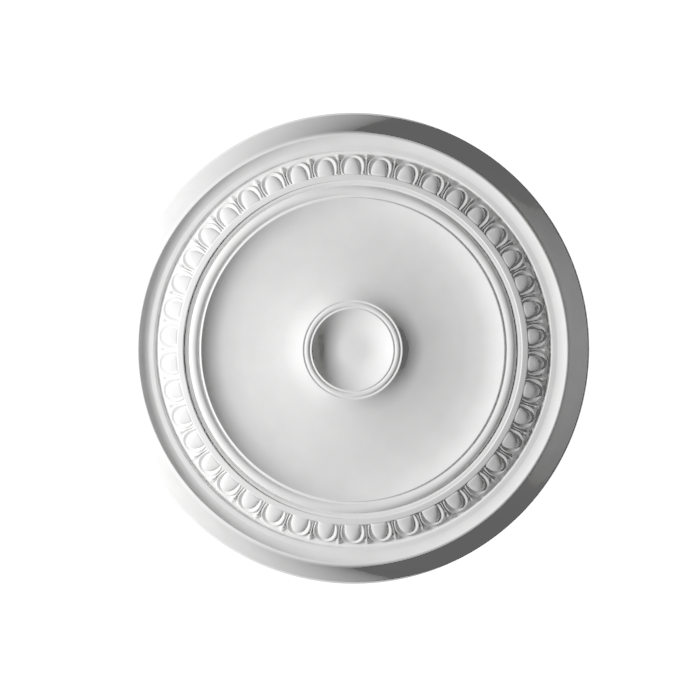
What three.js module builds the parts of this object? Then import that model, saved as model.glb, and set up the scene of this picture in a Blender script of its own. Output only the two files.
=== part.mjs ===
import * as THREE from "three";

// Ceiling rose, moulded in one piece: a stepped round moulding with an egg-and-dart band
// around a smooth field and a dished boss. Sizes are in millimetres.
// Every height is a projection, measured from the ceiling plane that the flat back meets.

// Around the rose
const eggCount = 42;
const turnSteps = 60;

// Outer edge with its thin ledge, and the steep cove that leads up to the arris
const roseRadius = 310;
const rimHeight = 3.6;
const ledgeRadius = 307.4;
const ledgeHeight = 4.4;
const coveFootRadius = 306.8;
const coveFootHeight = 6.6;
const coveTopRadius = 284.6;
const coveTopHeight = 49.6;
const coveSwell = -1.6;
const arrisRadius = 284.2;
const arrisHeight = 51;

// The rolled outer crest, then the small cove and the flat between it and the egg band
const crestFootRadius = 283.4;
const crestFootHeight = 52;
const crestInnerRadius = 278.7;
const crestInnerHeight = 56.6;
const crestSwell = 1.2;
const smallCoveRadius = 266.3;
const smallCoveHeight = 48.7;
const smallCoveSwell = -1.3;
const flatInnerRadius = 259.6;
const flatInnerHeight = 48.6;
const footGrooveRadius = 257.3;

// Ground of the egg-and-dart band, from the fillet down to its foot; it swells off the
// straight line by a share of the distance, more towards the foot
const bandFootRadius = 254.9;
const bandFootHeight = 44.8;
const bandTopRadius = 228.8;
const bandTopHeight = 58;
const groundHeadSwell = -0.1;
const groundFootSwell = 0.45;

// Fillet, wave and torus inside the egg band
const filletOuterRadius = 227.5;
const filletOuterHeight = 60;
const filletInnerRadius = 220.5;
const filletInnerHeight = 61;
const waveStepRadius = 220;
const waveTopRadius = 217.7;
const waveTopHeight = 58.5;
const waveFootRadius = 213.6;
const waveFootHeight = 54.9;
const waveSwell = 0.9;
const torusInnerRadius = 200.5;
const torusInnerHeight = 58;
const torusSwell = 4.6;
const lipGrooveRadius = 198.4;

// Smooth field: it falls from the boss, runs nearly level and rises to a lip
const lipRadius = 197.3;
const lipHeight = 60.2;
const lipSwell = -1.9;
const fieldRiseRadius = 170;
const fieldRiseHeight = 48.2;
const fieldRiseSwell = -0.7;
const fieldLowRadius = 140;
const fieldLowHeight = 46.4;
const fieldSwell = -1.15;
const flareFootRadius = 90.9;
const flareFootHeight = 51.4;
const flareSwell = -1.55;

// Boss: a bead between two lips, around a shallow dish with a flat floor
const bossOuterRadius = 64.6;
const bossInnerRadius = 53.2;
const bossHeight = 63;
const beadOuterRadius = 62.2;
const beadInnerRadius = 55.5;
const beadFootHeight = 61.4;
const beadSwell = 2.2;
const dishFloorRadius = 17;
const dishFloorHeight = 45.8;
const dishSwell = -4.5;

// One egg in its shell: each line of the carving runs round the egg in a U, from the fillet
// down the slope of the band to a tip and back, and bulges between its head and its tip.
// Rises are measured off the band's ground.
const eggPeak = { distance: 9, rise: 3 };
const eggHeadRise = 1.6;
const eggShoulder = { halfWidth: 7.2, bulge: 0.2, length: 18.1, headRise: 0.6, tipRise: 2 };
const eggGroove = { halfWidth: 10.8, bulge: 0.2, length: 22.9, headRise: -0.8, tipRise: -1.6 };
const shellRidge = { halfWidth: 12.9, bulge: 0.66, length: 25.7, headRise: 1.2, tipRise: 1.5 };
const shellFoot = { halfWidth: 14.1, bulge: 0.66, length: 27.5, headRise: -0.8, tipRise: -0.6 };

// The dart between two shells: a sharp shaft that widens to a barbed spear head.
// Each stage has its distance down the slope, half its width and the rises of ridge and foot.
const dartStages = [
  { distance: 0, halfWidth: 0.9, rise: 1.2, footRise: -0.8 },
  { distance: 19.1, halfWidth: 1.2, rise: 2, footRise: -2.2 },
  { distance: 22.1, halfWidth: 4.3, rise: 2.3, footRise: -1.4 },
];
const dartTip = { halfWidth: 0.4, rise: 0.2, footRise: -0.2 };
const footMargin = 0.6;

// Steps on the round stretches of the profile, and round each U of the carving
const fineSteps = 4;
const plainSteps = 3;
const shortSteps = 2;
const bends = 8;

const mouldedWhite = new THREE.MeshStandardMaterial({
  color: 0xe9e9e7,
  roughness: 0.82,
  metalness: 0,
});

function profilePoint(radius, height) {
  return new THREE.Vector2(radius, height);
}

// A round stretch of the profile: the points after its start, on an arc that stands
// off the straight line by the swell, or falls behind it where the swell is negative.
function roundTo(start, end, swell, steps) {
  const chord = end.clone().sub(start);
  const half = chord.length() / 2;
  const along = chord.clone().normalize();
  const across = new THREE.Vector2(along.y, -along.x);
  const radius = (half * half + swell * swell) / (2 * Math.abs(swell));
  const sweep = Math.asin(half / radius);
  const middle = start.clone().add(end).multiplyScalar(0.5);
  const points = [];
  for (let step = 1; step <= steps; step += 1) {
    const angle = sweep * ((2 * step) / steps - 1);
    const rise = (radius * (Math.cos(angle) - 1) + Math.abs(swell)) * Math.sign(swell);
    const point = middle.clone().addScaledVector(along, radius * Math.sin(angle));
    points.push(point.addScaledVector(across, rise));
  }
  return points;
}

// From the middle of the back, round the edge and over the crest, to the groove at the band's foot
function outerProfile() {
  const coveFoot = profilePoint(coveFootRadius, coveFootHeight);
  const coveTop = profilePoint(coveTopRadius, coveTopHeight);
  const crestFoot = profilePoint(crestFootRadius, crestFootHeight);
  const crestInner = profilePoint(crestInnerRadius, crestInnerHeight);
  const smallCove = profilePoint(smallCoveRadius, smallCoveHeight);
  return [
    profilePoint(0, 0),
    profilePoint(roseRadius, 0),
    profilePoint(roseRadius, rimHeight),
    profilePoint(ledgeRadius, ledgeHeight),
    coveFoot,
    ...roundTo(coveFoot, coveTop, coveSwell, plainSteps),
    profilePoint(arrisRadius, arrisHeight),
    crestFoot,
    ...roundTo(crestFoot, crestInner, crestSwell, plainSteps),
    ...roundTo(crestInner, smallCove, smallCoveSwell, shortSteps),
    profilePoint(flatInnerRadius, flatInnerHeight),
    profilePoint(footGrooveRadius, bandFootHeight),
  ];
}

// From the fillet above the band, over the torus, the field and the boss, to the middle of the dish
function innerProfile() {
  const waveTop = profilePoint(waveTopRadius, waveTopHeight);
  const waveFoot = profilePoint(waveFootRadius, waveFootHeight);
  const torusInner = profilePoint(torusInnerRadius, torusInnerHeight);
  const lip = profilePoint(lipRadius, lipHeight);
  const fieldRise = profilePoint(fieldRiseRadius, fieldRiseHeight);
  const fieldLow = profilePoint(fieldLowRadius, fieldLowHeight);
  const flareFoot = profilePoint(flareFootRadius, flareFootHeight);
  const bossOuter = profilePoint(bossOuterRadius, bossHeight);
  const beadOuter = profilePoint(beadOuterRadius, beadFootHeight);
  const beadInner = profilePoint(beadInnerRadius, beadFootHeight);
  const bossInner = profilePoint(bossInnerRadius, bossHeight);
  const dishFloor = profilePoint(dishFloorRadius, dishFloorHeight);
  return [
    profilePoint(filletOuterRadius, filletOuterHeight),
    profilePoint(filletInnerRadius, filletInnerHeight),
    profilePoint(waveStepRadius, waveTopHeight),
    waveTop,
    ...roundTo(waveTop, waveFoot, waveSwell, shortSteps),
    ...roundTo(waveFoot, torusInner, torusSwell, fineSteps),
    profilePoint(lipGrooveRadius, torusInnerHeight),
    lip,
    ...roundTo(lip, fieldRise, lipSwell, plainSteps),
    ...roundTo(fieldRise, fieldLow, fieldRiseSwell, shortSteps),
    ...roundTo(fieldLow, flareFoot, fieldSwell, shortSteps),
    ...roundTo(flareFoot, bossOuter, flareSwell, plainSteps),
    beadOuter,
    ...roundTo(beadOuter, beadInner, beadSwell, shortSteps),
    bossInner,
    ...roundTo(bossInner, dishFloor, dishSwell, fineSteps),
    profilePoint(0, dishFloorHeight),
  ];
}

// The closed skin of the rose, worked face up: corners, and faces that turn
// counter-clockwise seen from outside. A ring is a list of corners in order round the axis.
class Skin {
  points = [];
  angles = [];
  faces = [];

  corner(angle, radius, height) {
    this.points.push(radius * Math.cos(angle), radius * Math.sin(angle), height);
    this.angles.push(angle);
    return this.angles.length - 1;
  }

  ring(point) {
    const steps = point.x > 0 ? turnSteps : 1;
    const ring = [];
    for (let step = 0; step < steps; step += 1) {
      ring.push(this.corner((2 * Math.PI * step) / steps, point.x, point.y));
    }
    return ring;
  }

  // The angle that a ring reaches at a step, counted on past a full turn
  reach(ring, step) {
    return this.angles[ring[step % ring.length]] + (step < ring.length ? 0 : 2 * Math.PI);
  }

  // Joins two rings, whatever their counts: the corner that comes next in angle is joined next
  stitch(first, second) {
    const firstEnd = first.length > 1 ? first.length : 0;
    const secondEnd = second.length > 1 ? second.length : 0;
    let i = 0;
    let j = 0;
    while (i < firstEnd || j < secondEnd) {
      const near = first[i % first.length];
      const far = second[j % second.length];
      const firstIsNext = this.reach(first, i + 1) <= this.reach(second, j + 1);
      if (j === secondEnd || (i < firstEnd && firstIsNext)) {
        i += 1;
        this.faces.push(near, first[i % first.length], far);
      } else {
        j += 1;
        this.faces.push(near, second[j % second.length], far);
      }
    }
  }

  span(one, other) {
    const place = (corner) => new THREE.Vector3().fromArray(this.points, 3 * corner);
    return place(one).distanceTo(place(other));
  }

  // Joins a line of the carving to the next line around it; each patch between them is
  // split the shorter way
  weave(inner, outer) {
    for (let bend = 0; bend < bends; bend += 1) {
      const patch = [inner[bend], outer[bend], outer[bend + 1], inner[bend + 1]];
      if (this.span(patch[0], patch[2]) > this.span(patch[1], patch[3])) patch.push(patch.shift());
      this.faces.push(patch[0], patch[1], patch[2]);
      this.faces.push(patch[0], patch[2], patch[3]);
    }
  }

  geometry() {
    const geometry = new THREE.BufferGeometry();
    geometry.setAttribute("position", new THREE.Float32BufferAttribute(this.points, 3));
    geometry.setIndex(this.faces);
    geometry.computeVertexNormals();
    return geometry;
  }
}

// The slope of the band, as the straight line from its top to its foot
const slopeRun = bandFootRadius - bandTopRadius;
const slopeFall = bandTopHeight - bandFootHeight;
const slopeLength = Math.hypot(slopeRun, slopeFall);
const pitch = (2 * Math.PI) / eggCount;

// A corner of the carving: its angle, its distance down the slope and its rise off the ground,
// which itself swells between the top and the foot
function bandCorner(skin, angle, distance, rise) {
  const share = distance / slopeLength;
  const swell = groundHeadSwell + (groundFootSwell - groundHeadSwell) * share;
  const lift = rise + slopeLength * share * (1 - share) * swell;
  const radius = bandTopRadius + share * slopeRun + (lift * slopeFall) / slopeLength;
  const height = bandTopHeight - share * slopeFall + (lift * slopeRun) / slopeLength;
  return skin.corner(angle, radius, height);
}

// The turn around the rose that spans a width, at a distance down the slope
function turnFor(width, distance) {
  return width / (bandTopRadius + (distance / slopeLength) * slopeRun);
}

// A line that runs round an egg in a U
function eggLine(skin, eggAngle, line) {
  const corners = [];
  for (let bend = 0; bend <= bends; bend += 1) {
    const turn = (Math.PI * Math.min(bend, bends - bend)) / bends;
    const way = bend * 2 < bends ? -1 : 1;
    const distance = line.length * Math.sin(turn);
    const halfWidth = line.halfWidth * (1 + line.bulge * Math.sin(turn));
    const rise = line.headRise + (line.tipRise - line.headRise) * Math.sqrt(Math.sin(turn));
    const angle = eggAngle + way * turnFor(halfWidth * Math.cos(turn), distance);
    corners.push(bandCorner(skin, angle, distance, rise));
  }
  return corners;
}

// The foot of the darts on both sides of an egg, joined below the tip of its shell
function dartFootLine(skin, eggAngle) {
  const tip = { ...dartTip, distance: slopeLength - footMargin };
  const stages = [...dartStages, tip];
  const side = (stage, way) => {
    const angle = eggAngle + way * (pitch / 2 - turnFor(stage.halfWidth, stage.distance));
    return bandCorner(skin, angle, stage.distance, stage.footRise);
  };
  const leading = stages.map((stage) => side(stage, -1));
  const trailing = stages.map((stage) => side(stage, 1)).reverse();
  return [...leading, bandCorner(skin, eggAngle, tip.distance, tip.footRise), ...trailing];
}

// The ridge of the dart, ending at the foot of the band
function dartRidge(skin, dartAngle) {
  const ridge = dartStages.map((stage) => bandCorner(skin, dartAngle, stage.distance, stage.rise));
  return [...ridge, bandCorner(skin, dartAngle, slopeLength, dartTip.rise)];
}

// The carved band: its faces, and the rings that edge it under the fillet and at the foot
function carveBand(skin) {
  const head = [];
  const foot = [];
  const ridges = [];
  for (let egg = 0; egg < eggCount; egg += 1) ridges.push(dartRidge(skin, egg * pitch));
  for (let egg = 0; egg < eggCount; egg += 1) {
    const eggAngle = (egg + 0.5) * pitch;
    const leading = ridges[egg];
    const trailing = ridges[(egg + 1) % eggCount];
    const footMiddle = bandCorner(skin, eggAngle, slopeLength, 0);
    const peak = bandCorner(skin, eggAngle, eggPeak.distance, eggPeak.rise);
    const headMiddle = bandCorner(skin, eggAngle, 0, eggHeadRise);
    const lines = [eggShoulder, eggGroove, shellRidge, shellFoot].map((line) => {
      return eggLine(skin, eggAngle, line);
    });
    lines.push(dartFootLine(skin, eggAngle));
    lines.push([...leading, footMiddle, ...[...trailing].reverse()]);
    const shoulder = lines[0];
    for (let bend = 0; bend < bends; bend += 1) {
      skin.faces.push(peak, shoulder[bend], shoulder[bend + 1]);
    }
    skin.faces.push(peak, shoulder[bends], headMiddle);
    skin.faces.push(peak, headMiddle, shoulder[0]);
    for (let line = 1; line < lines.length; line += 1) skin.weave(lines[line - 1], lines[line]);
    const heads = lines.slice(0, -1);
    head.push(leading[0]);
    head.push(...heads.map((line) => line[0]).reverse(), headMiddle);
    head.push(...heads.map((line) => line[bends]));
    foot.push(leading[leading.length - 1], footMiddle);
  }
  return { head, foot };
}

function roseGeometry() {
  const skin = new Skin();
  const band = carveBand(skin);
  const outer = [...outerProfile().map((point) => skin.ring(point)), band.foot];
  const inner = [band.head, ...innerProfile().map((point) => skin.ring(point))];
  for (const rings of [outer, inner]) {
    for (let step = 1; step < rings.length; step += 1) skin.stitch(rings[step - 1], rings[step]);
  }
  return skin.geometry();
}

// The rose hangs face down: worked face up, it is turned over
const ceilingRose = new THREE.Mesh(roseGeometry(), mouldedWhite);
ceilingRose.name = "ceiling_rose";
ceilingRose.rotation.x = Math.PI;

const group = new THREE.Group();
group.add(ceilingRose);

export default group;
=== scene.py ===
import math

import bpy
from mathutils import Matrix, Vector


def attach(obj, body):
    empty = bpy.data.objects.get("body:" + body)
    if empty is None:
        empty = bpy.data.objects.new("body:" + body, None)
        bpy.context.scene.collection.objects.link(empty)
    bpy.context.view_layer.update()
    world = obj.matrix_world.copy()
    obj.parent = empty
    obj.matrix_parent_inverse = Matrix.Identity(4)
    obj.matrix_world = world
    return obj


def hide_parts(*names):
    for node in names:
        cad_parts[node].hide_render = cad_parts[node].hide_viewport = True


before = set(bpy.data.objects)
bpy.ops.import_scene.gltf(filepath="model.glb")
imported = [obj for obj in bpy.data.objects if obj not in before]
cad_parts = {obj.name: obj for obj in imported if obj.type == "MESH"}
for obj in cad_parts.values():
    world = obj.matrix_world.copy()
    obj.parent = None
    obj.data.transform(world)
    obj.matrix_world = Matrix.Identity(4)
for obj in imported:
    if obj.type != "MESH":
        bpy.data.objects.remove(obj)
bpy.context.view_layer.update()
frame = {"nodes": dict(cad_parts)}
mm = 0.001
print("frame loaded:", ", ".join(frame["nodes"]))

# The turned profile of the rose, in mm: radius from the axis, height off the ceiling plane
profile = {
    "columns": 168,
    "radius": 310, "rimHeight": 3.6, "backRadius": 304,
    "ledgeRadius": 307.4, "ledgeHeight": 4.4,
    "coveFootRadius": 306.8, "coveFootHeight": 6.6,
    "coveTopRadius": 284.6, "coveTopHeight": 49.6, "coveSwell": -1.6,
    "arrisRadius": 284.2, "arrisHeight": 51,
    "crestFootRadius": 283.4, "crestFootHeight": 52,
    "crestInnerRadius": 278.7, "crestInnerHeight": 56.6, "crestSwell": 1.2,
    "smallCoveRadius": 266.3, "smallCoveHeight": 48.7, "smallCoveSwell": -1.3,
    "flatInnerRadius": 259.6, "flatInnerHeight": 48.6,
    "footGrooveRadius": 257.3,
    "bandFootRadius": 254.9, "bandFootHeight": 44.8,
    "bandTopRadius": 228.8, "bandTopHeight": 58,
    "filletOuterRadius": 227.5, "filletOuterHeight": 60,
    "filletInnerRadius": 220.5, "filletInnerHeight": 61,
    "waveStepRadius": 220, "waveTopRadius": 217.7, "waveTopHeight": 58.5,
    "waveFootRadius": 213.6, "waveFootHeight": 54.9, "waveSwell": 0.9,
    "torusInnerRadius": 200.5, "torusInnerHeight": 58, "torusSwell": 4.6,
    "lipGrooveRadius": 198.4,
    "lipRadius": 197.3, "lipHeight": 60.2, "lipSwell": -1.9,
    "fieldRiseRadius": 170, "fieldRiseHeight": 48.2, "fieldRiseSwell": -0.7,
    "fieldLowRadius": 140, "fieldLowHeight": 46.4, "fieldSwell": -1.15,
    "flareFootRadius": 90.9, "flareFootHeight": 51.4, "flareSwell": -1.55,
    "bossOuterRadius": 64.6, "bossInnerRadius": 53.2, "bossHeight": 63,
    "beadOuterRadius": 62.2, "beadInnerRadius": 55.5, "beadFootHeight": 61.4, "beadSwell": 2.2,
    "dishFloorRadius": 17, "dishFloorHeight": 45.8, "dishSwell": -4.5,
    "edgeRound": 0.7, "edgeSteps": 4, "edgeShare": 0.42, "sharpTurn": 9, "longStep": 2.6,
}

# how far apart the points of each round stretch stand, in mm, and the fewest steps it takes
spacing = {
    "cove": 2, "crest": 0.8, "smallCove": 1.2, "wave": 1, "torus": 1.2, "lip": 2.4, "fieldRise": 4,
    "field": 5, "flare": 2.4, "bead": 0.8, "dish": 2.2, "fewest": 4,
}

# One egg in its shell, and the dart beside it. Lines run round the egg in a U from the fillet.
carving = {
    "eggs": 42, "bends": 24, "headSteps": 6,
    "groundHeadSwell": 0.08, "groundFootSwell": 0.45,
    "peakDistance": 10, "peakRise": 2.4, "headRise": 1.5, "domeLines": 9,
    "eggEdge": {
        "halfWidth": 10.4, "bulge": 0.2, "length": 22.5, "headRise": -0.3, "tipRise": -0.8, "sideDip": -0.4,
    },
    "groove": {
        "halfWidth": 10.8, "bulge": 0.2, "length": 22.9, "headRise": -0.8, "tipRise": -1.6, "sideDip": -0.6,
    },
    "shellCrest": {
        "halfWidth": 12.9, "bulge": 0.66, "length": 25.7, "headRise": 1.2, "tipRise": 1.5, "sideDip": 0,
    },
    "shellFoot": {
        "halfWidth": 14.1, "bulge": 0.66, "length": 27.5, "headRise": -0.8, "tipRise": -0.6, "sideDip": -2,
    },
    "flankShares": (0.12, 0.35, 0.6, 0.84), "flankRound": 0.3,
    "outerShares": (0.14, 0.5), "groundShares": (0.5,), "groundDip": 0.5,
    "dartDistances": (0, 3.6, 7.2, 10.5, 13.7, 16.6, 19.8, 22.1, 25.3, 28.6),
    "dartHalfWidths": (0.9, 0.95, 1.0, 1.05, 1.1, 1.2, 1.3, 4.3, 2.4, 0.4),
    "dartRises": (1.2, 1.4, 1.6, 1.7, 1.8, 1.9, 2.0, 2.3, 1.7),
    "dartFootRises": (-0.8, -1.2, -1.5, -1.8, -2, -2.2, -2.4, -2, -1.2, -0.2), "footPoints": 5,
}

corners = []
turns = []
faces = []


def lerp(start, end, share):
    return start + (end - start) * share


def corner(turn, radius, height):
    corners.append((radius * math.cos(turn) * mm, -radius * math.sin(turn) * mm, -height * mm))
    turns.append(turn)
    return len(turns) - 1


def ring(radius, height):
    count = profile["columns"] if radius > 0 else 1
    return [corner(math.tau * column / count, radius, height) for column in range(count)]


# two rings with as many corners are joined by quads, others by whichever corner comes next
def join(first, second):
    if len(first) == len(second):
        for i in range(len(first)):
            k = (i + 1) % len(first)
            faces.append((first[i], second[i], second[k], first[k]))
        return
    firstEnd = len(first) if len(first) > 1 else 0
    secondEnd = len(second) if len(second) > 1 else 0
    i = j = 0
    while i < firstEnd or j < secondEnd:
        near, far = first[i % len(first)], second[j % len(second)]
        nextFirst = turns[first[(i + 1) % len(first)]] + (math.tau if i + 1 >= len(first) else 0)
        nextSecond = turns[second[(j + 1) % len(second)]] + (math.tau if j + 1 >= len(second) else 0)
        if j == secondEnd or (i < firstEnd and nextFirst <= nextSecond):
            i += 1
            faces.append((near, far, first[i % len(first)]))
        else:
            j += 1
            faces.append((near, far, second[j % len(second)]))


def weave(inner, outer, closed=False):
    for i in range(len(inner) if closed else len(inner) - 1):
        k = (i + 1) % len(inner)
        faces.append((inner[i], inner[k], outer[k], outer[i]))


# points after the start of a round stretch that stands off its straight line by its swell
def roundTo(start, end, name):
    swell = profile[name + "Swell"]
    start, end = Vector(start), Vector(end)
    half = (end - start).length / 2
    along = (end - start).normalized()
    across = Vector((along.y, -along.x))
    bow = (half * half + swell * swell) / (2 * abs(swell))
    sweep = math.asin(half / bow)
    steps = max(spacing["fewest"], round(2 * half / spacing[name]))
    middle = (start + end) / 2
    made = []
    for k in range(1, steps + 1):
        angle = sweep * (2 * k / steps - 1)
        rise = math.copysign(bow * (math.cos(angle) - 1) + abs(swell), swell)
        made.append(tuple(middle + along * bow * math.sin(angle) + across * rise))
    return made


# rounds every sharp corner of a profile and splits its long straight runs
def softened(points):
    points = [Vector(point) for point in points]
    made = [points[0]]
    for before, point, after in zip(points, points[1:], points[2:]):
        back, on = before - point, after - point
        turn = math.pi - back.angle(on)
        if turn < math.radians(profile["sharpTurn"]):
            made.append(point)
            continue
        room = profile["edgeShare"] * min(back.length, on.length)
        cut = min(profile["edgeRound"] * math.tan(turn / 2), room)
        start, end = point + back.normalized() * cut, point + on.normalized() * cut
        for k in range(profile["edgeSteps"] + 1):
            t = k / profile["edgeSteps"]
            made.append(start.lerp(point, t).lerp(point.lerp(end, t), t))
    made.append(points[-1])
    split = [made[0]]
    for point in made[1:]:
        pieces = max(1, math.ceil((point - split[-1]).length / profile["longStep"]))
        start = split[-1]
        split += [start.lerp(point, k / pieces) for k in range(1, pieces + 1)]
    return split


def spot(name):
    return (profile[name + "Radius"], profile[name + "Height"])


def outerProfile():
    p = profile
    cove = roundTo(spot("coveFoot"), spot("coveTop"), "cove")
    crest = roundTo(spot("crestFoot"), spot("crestInner"), "crest")
    smallCove = roundTo(spot("crestInner"), spot("smallCove"), "smallCove")
    back = [(p["backRadius"], 0), (p["radius"], 0)]
    edge = [*back, (p["radius"], p["rimHeight"]), spot("ledge"), spot("coveFoot")]
    foot = [spot("flatInner"), (p["footGrooveRadius"], p["bandFootHeight"]), spot("bandFoot")]
    return softened([*edge, *cove, spot("arris"), spot("crestFoot"), *crest, *smallCove, *foot])


def innerProfile():
    p = profile
    waveStep = (p["waveStepRadius"], p["waveTopHeight"])
    bossOuter, bossInner = ((p[side + "Radius"], p["bossHeight"]) for side in ("bossOuter", "bossInner"))
    beadOuter, beadInner = ((p[side + "Radius"], p["beadFootHeight"]) for side in ("beadOuter", "beadInner"))
    lipGroove = (p["lipGrooveRadius"], p["torusInnerHeight"])
    points = [spot("bandTop"), spot("filletOuter"), spot("filletInner"), waveStep, spot("waveTop")]
    points += roundTo(spot("waveTop"), spot("waveFoot"), "wave")
    points += roundTo(spot("waveFoot"), spot("torusInner"), "torus")
    points += [lipGroove, spot("lip")]
    points += roundTo(spot("lip"), spot("fieldRise"), "lip")
    points += roundTo(spot("fieldRise"), spot("fieldLow"), "fieldRise")
    points += roundTo(spot("fieldLow"), spot("flareFoot"), "field")
    points += roundTo(spot("flareFoot"), bossOuter, "flare")
    points += [beadOuter, *roundTo(beadOuter, beadInner, "bead"), bossInner]
    points += roundTo(bossInner, spot("dishFloor"), "dish")
    return softened([*points, (0, p["dishFloorHeight"])])


slopeRun = profile["bandFootRadius"] - profile["bandTopRadius"]
slopeFall = profile["bandTopHeight"] - profile["bandFootHeight"]
slopeLength = math.hypot(slopeRun, slopeFall)
pitch = math.tau / carving["eggs"]


# a corner of the carving, off the ground that swells between the fillet and the foot
def bandCorner(turn, distance, rise):
    share = distance / slopeLength
    swell = lerp(carving["groundHeadSwell"], carving["groundFootSwell"], share)
    lift = rise + slopeLength * share * (1 - share) * swell
    radius = profile["bandTopRadius"] + share * slopeRun + lift * slopeFall / slopeLength
    height = profile["bandTopHeight"] - share * slopeFall + lift * slopeRun / slopeLength
    return corner(turn, radius, height)


def turnFor(width, distance):
    return width / (profile["bandTopRadius"] + distance / slopeLength * slopeRun)


# width across, distance down and rise of a U line at each of its bends
def uLine(line):
    made = []
    for bend in range(carving["bends"] + 1):
        turn = math.pi * bend / carving["bends"]
        bulge = 1 + line["bulge"] * math.sin(turn)
        rise = lerp(line["headRise"], line["tipRise"], math.sqrt(max(0, math.sin(turn))))
        rise += line["sideDip"] * math.sin(2 * turn) ** 2
        made.append((-line["halfWidth"] * math.cos(turn) * bulge, line["length"] * math.sin(turn), rise))
    return made


def between(first, second, share, lift=0):
    made = []
    for a, b in zip(first, second):
        made.append((lerp(a[0], b[0], share), lerp(a[1], b[1], share), lerp(a[2], b[2], share) + lift))
    return made


# the closed loops that rise from the edge of an egg to its peak, the edge first
def eggLoops(edge):
    c = carving
    halfWidth = edge[-1][0]
    rim = list(edge)
    for step in range(1, c["headSteps"]):
        across = halfWidth * (1 - 2 * step / c["headSteps"])
        share = 1 - (across / halfWidth) ** 2
        rim.append((across, 0, lerp(edge[0][2], c["headRise"], share)))
    loops = []
    for k in range(c["domeLines"], 0, -1):
        t = math.sin(math.pi / 2 * k / c["domeLines"])
        dome = math.sqrt(max(0, 1 - t * t))
        loops.append([
            (x * t, lerp(c["peakDistance"], y, t), lerp(rise, c["peakRise"], dome)) for x, y, rise in rim
        ])
    return loops


# the foot of the darts on both sides of an egg, joined under the tip of its shell
def dartFootLine():
    c = carving
    leading = []
    for distance, half, rise in zip(c["dartDistances"], c["dartHalfWidths"], c["dartFootRises"]):
        reach = pitch / 2 * (profile["bandTopRadius"] + distance / slopeLength * slopeRun)
        leading.append((-(reach - half), distance, rise))
    tip = leading[-1]
    made = list(leading)
    for step in range(1, c["footPoints"] + 1):
        share = step / (c["footPoints"] + 1)
        made.append((lerp(tip[0], -tip[0], share), tip[1], tip[2]))
    return made + [(-x, y, rise) for x, y, rise in reversed(leading)]


def placed(line, eggTurn):
    return [bandCorner(eggTurn + turnFor(x, y), y, rise) for x, y, rise in line]


# the line along the top of a dart, down to the foot of the band
def dartRidge(turn):
    spots = zip(carving["dartDistances"], carving["dartRises"])
    return [bandCorner(turn, distance, rise) for distance, rise in spots] + [bandCorner(turn, slopeLength, 0)]


# the U lines from the groove round an egg, over its shell, to the foot of the darts
def shellLines():
    c = carving
    groove, crest, foot = (uLine(c[name]) for name in ("groove", "shellCrest", "shellFoot"))
    dartFoot = dartFootLine()
    lines = [groove]
    lines += [between(groove, crest, s, c["flankRound"] * math.sin(math.pi * s)) for s in c["flankShares"]]
    lines += [crest]
    lines += [between(crest, foot, s, c["flankRound"] * (1 - s)) for s in c["outerShares"]]
    lines += [foot]
    lines += [between(foot, dartFoot, s, -c["groundDip"] * math.sin(math.pi * s)) for s in c["groundShares"]]
    return [*lines, dartFoot]


# one egg with its shell, out to the darts beside it; returns its stretch of the band's head and foot
def carveEgg(egg, loops, lines, ridges):
    c = carving
    eggTurn = (egg + 0.5) * pitch
    rings = [placed(loop, eggTurn) for loop in loops]
    for outer, inner in zip(rings, rings[1:]):
        weave(inner, outer, closed=True)
    peak = bandCorner(eggTurn, c["peakDistance"], c["peakRise"])
    inmost = rings[-1]
    for i in range(len(inmost)):
        faces.append((peak, inmost[(i + 1) % len(inmost)], inmost[i]))
    shell = [placed(line, eggTurn) for line in lines]
    footEdge = []
    for step in range(1, c["footPoints"] + 1):
        footEdge.append(bandCorner((egg + step / (c["footPoints"] + 1)) * pitch, slopeLength, 0))
    leading, trailing = ridges[egg], ridges[(egg + 1) % c["eggs"]]
    edgeRow, headRow = rings[0][: c["bends"] + 1], rings[0][c["bends"] + 1:]
    rows = [edgeRow, *shell, [*leading, *footEdge, *reversed(trailing)]]
    for inner, outer in zip(rows, rows[1:]):
        weave(inner, outer)
    head = [leading[0], *(row[0] for row in reversed(shell))]
    head += [edgeRow[0], *reversed(headRow), edgeRow[-1]]
    head += [row[-1] for row in shell]
    return head, [leading[-1], *footEdge]


def carveBand():
    loops = eggLoops(uLine(carving["eggEdge"]))
    lines = shellLines()
    ridges = [dartRidge(egg * pitch) for egg in range(carving["eggs"])]
    head, foot = [], []
    for egg in range(carving["eggs"]):
        eggHead, eggFoot = carveEgg(egg, loops, lines, ridges)
        head += eggHead
        foot += eggFoot
    return head, foot


def makeRose():
    head, foot = carveBand()
    outer = [ring(0, 0), *(ring(point.x, point.y) for point in outerProfile()[:-1]), foot]
    inner = [head] + [ring(point.x, point.y) for point in innerProfile()[1:]]
    for rings in (outer, inner):
        for first, second in zip(rings, rings[1:]):
            join(first, second)
    mesh = bpy.data.meshes.new("moulded_rose")
    mesh.from_pydata(corners, [], faces)
    mesh.validate()
    mesh.shade_smooth()
    rose = bpy.data.objects.new("moulded_rose", mesh)
    bpy.context.collection.objects.link(rose)
    triangles = sum(len(face.vertices) - 2 for face in mesh.polygons)
    print("rose made:", len(mesh.vertices), "corners,", triangles, "triangles")
    return rose


# White moulded finish: a fine grain, a faint mottle and slightly uneven roughness
finish = {
    "colour": (0.8, 0.8, 0.795, 1), "paleColour": (0.86, 0.86, 0.855, 1),
    "grainScale": 620, "grainDetail": 3, "grainBump": 0.12, "grainDepth": 0.0004,
    "mottleScale": 34, "mottleDetail": 4, "mottleRange": (0.3, 0.7),
    "roughness": (0.55, 0.72), "specular": 0.2,
}


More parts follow.
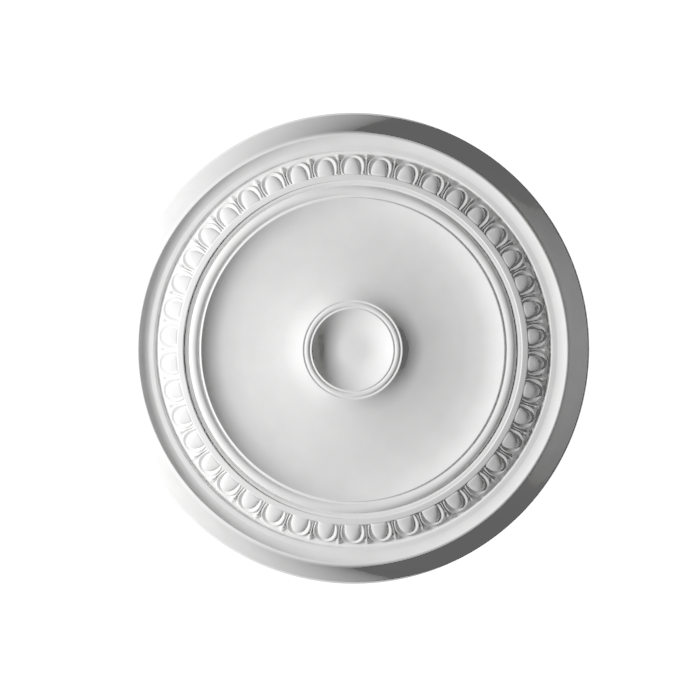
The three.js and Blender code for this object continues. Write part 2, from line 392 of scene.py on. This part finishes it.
def makeFinish():
    material = bpy.data.materials.new("moulded_white")
    material.use_nodes = True
    nodes, links = material.node_tree.nodes, material.node_tree.links
    shader = nodes["Principled BSDF"]
    place = nodes.new("ShaderNodeTexCoord")
    noises = {}
    for name in ("grain", "mottle"):
        noise = nodes.new("ShaderNodeTexNoise")
        noise.inputs["Scale"].default_value = finish[name + "Scale"]
        noise.inputs["Detail"].default_value = finish[name + "Detail"]
        links.new(place.outputs["Object"], noise.inputs["Vector"])
        noises[name] = noise.outputs["Fac"]
    colour = nodes.new("ShaderNodeValToRGB")
    shades = (finish["colour"], finish["paleColour"])
    for stop, position, shade in zip(colour.color_ramp.elements, finish["mottleRange"], shades):
        stop.position = position
        stop.color = shade
    links.new(noises["mottle"], colour.inputs["Fac"])
    links.new(colour.outputs["Color"], shader.inputs["Base Color"])
    rough = nodes.new("ShaderNodeMapRange")
    rough.inputs["To Min"].default_value, rough.inputs["To Max"].default_value = finish["roughness"]
    links.new(noises["grain"], rough.inputs["Value"])
    links.new(rough.outputs["Result"], shader.inputs["Roughness"])
    bump = nodes.new("ShaderNodeBump")
    bump.inputs["Strength"].default_value = finish["grainBump"]
    bump.inputs["Distance"].default_value = finish["grainDepth"]
    links.new(noises["grain"], bump.inputs["Height"])
    links.new(bump.outputs["Normal"], shader.inputs["Normal"])
    shader.inputs["Specular IOR Level"].default_value = finish["specular"]
    return material


rose = makeRose()
rose.data.materials.append(makeFinish())
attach(rose, "root")
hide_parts("ceiling_rose")
print("finish made")

# Camera below the rose, looking up at its face, a little right of the axis and up
view = {
    "distance": 4.5, "right": 0.102, "up": 0.113, "aimRight": -0.0046, "aimUp": -0.0018,
    "width": 0.921, "sensor": 36, "clipEnd": 40,
}
camera = bpy.data.objects.new("photoCamera", bpy.data.cameras.new("photoCamera"))
bpy.context.collection.objects.link(camera)
camera.data.sensor_width = view["sensor"]
camera.data.lens = view["sensor"] * view["distance"] / view["width"]
camera.data.clip_end = view["clipEnd"]
camera.location = (view["right"], -view["up"], -view["distance"])
aim = (Vector((view["aimRight"], -view["aimUp"], 0)) - camera.location).normalized()
right = (Vector((1, 0, 0)) - aim * aim.x).normalized()
camera.rotation_mode = "QUATERNION"
camera.rotation_quaternion = Matrix((right, right.cross(aim), -aim)).transposed().to_quaternion()
bpy.context.scene.camera = camera

# Studio light: a soft key on the left, a low strip on the right, one over the back
lamps = {
    "key": {"place": (-1.70, 0, -1.05), "size": (0.5, 0.5), "power": 46},
    "rightEdge": {"place": (2.0, 0, -0.03), "size": (0.3, 0.06), "power": 3.4},
    "overhead": {"place": (0.6, -1.2, 3.0), "size": (2.5, 2.5), "power": 10},
}


def makeLamp(name, place, size, power):
    lamp = bpy.data.lights.new(name, "AREA")
    lamp.shape = "RECTANGLE"
    lamp.size, lamp.size_y = size
    lamp.energy = power
    thing = bpy.data.objects.new(name, lamp)
    bpy.context.collection.objects.link(thing)
    thing.location = place
    thing.rotation_mode = "QUATERNION"
    thing.rotation_quaternion = (-Vector(place)).to_track_quat("-Z", "Y")
    return thing


lit = {name: makeLamp(name, **lamps[name]) for name in lamps}
onlyRose = bpy.data.collections.new("only_rose")  # the key and the edge light don't reach the floor
onlyRose.objects.link(rose)
for name in ("key", "rightEdge"):
    lit[name].light_linking.receiver_collection = onlyRose

# A pale floor under the camera, for views from the side
floor = {"drop": 4.9, "size": 40, "colour": (0.82, 0.82, 0.82, 1), "roughness": 0.9}
bpy.ops.mesh.primitive_plane_add(size=floor["size"], location=(0, 0, -floor["drop"]))
ground = bpy.context.object
ground.name = "pale_floor"
paint = bpy.data.materials.new("pale_floor")
paint.use_nodes = True
paintShader = paint.node_tree.nodes["Principled BSDF"]
paintShader.inputs["Base Color"].default_value = floor["colour"]
paintShader.inputs["Roughness"].default_value = floor["roughness"]
ground.data.materials.append(paint)

# the backdrop is white to the eye and dim as a light
backdrop = {"seen": 1.2, "lit": 0.01}
world = bpy.data.worlds.new("backdrop")
bpy.context.scene.world = world
world.use_nodes = True
nodes, links = world.node_tree.nodes, world.node_tree.links
path = nodes.new("ShaderNodeLightPath")
strength = nodes.new("ShaderNodeMapRange")
strength.inputs["To Min"].default_value = backdrop["lit"]
strength.inputs["To Max"].default_value = backdrop["seen"]
links.new(path.outputs["Is Camera Ray"], strength.inputs["Value"])
nodes["Background"].inputs["Color"].default_value = (1, 1, 1, 1)
links.new(strength.outputs["Result"], nodes["Background"].inputs["Strength"])

# tone: white stays white, and the darkest shade is lifted to a pale grey
tone = {
    "floor": 0.39, "black": 0.065, "gamma": 2.2,
    "stops": (0, 0.065, 0.07, 0.08, 0.1, 0.14, 0.2, 0.35, 0.6, 1),
}
settings = bpy.context.scene.view_settings
settings.view_transform = "Standard"
settings.look = "None"
settings.use_curve_mapping = True
curve = settings.curve_mapping.curves[3]
for stop in tone["stops"]:
    shown = max(0, stop - tone["black"]) / (1 - tone["black"])
    bright = tone["floor"] + (1 - tone["floor"]) * shown ** (1 / tone["gamma"])
    lifted = bright ** tone["gamma"]
    if 0 < stop < 1:
        curve.points.new(stop, lifted)
    else:
        curve.points[0 if stop == 0 else -1].location = (stop, lifted)
settings.curve_mapping.update()
print("camera, light and floor set")
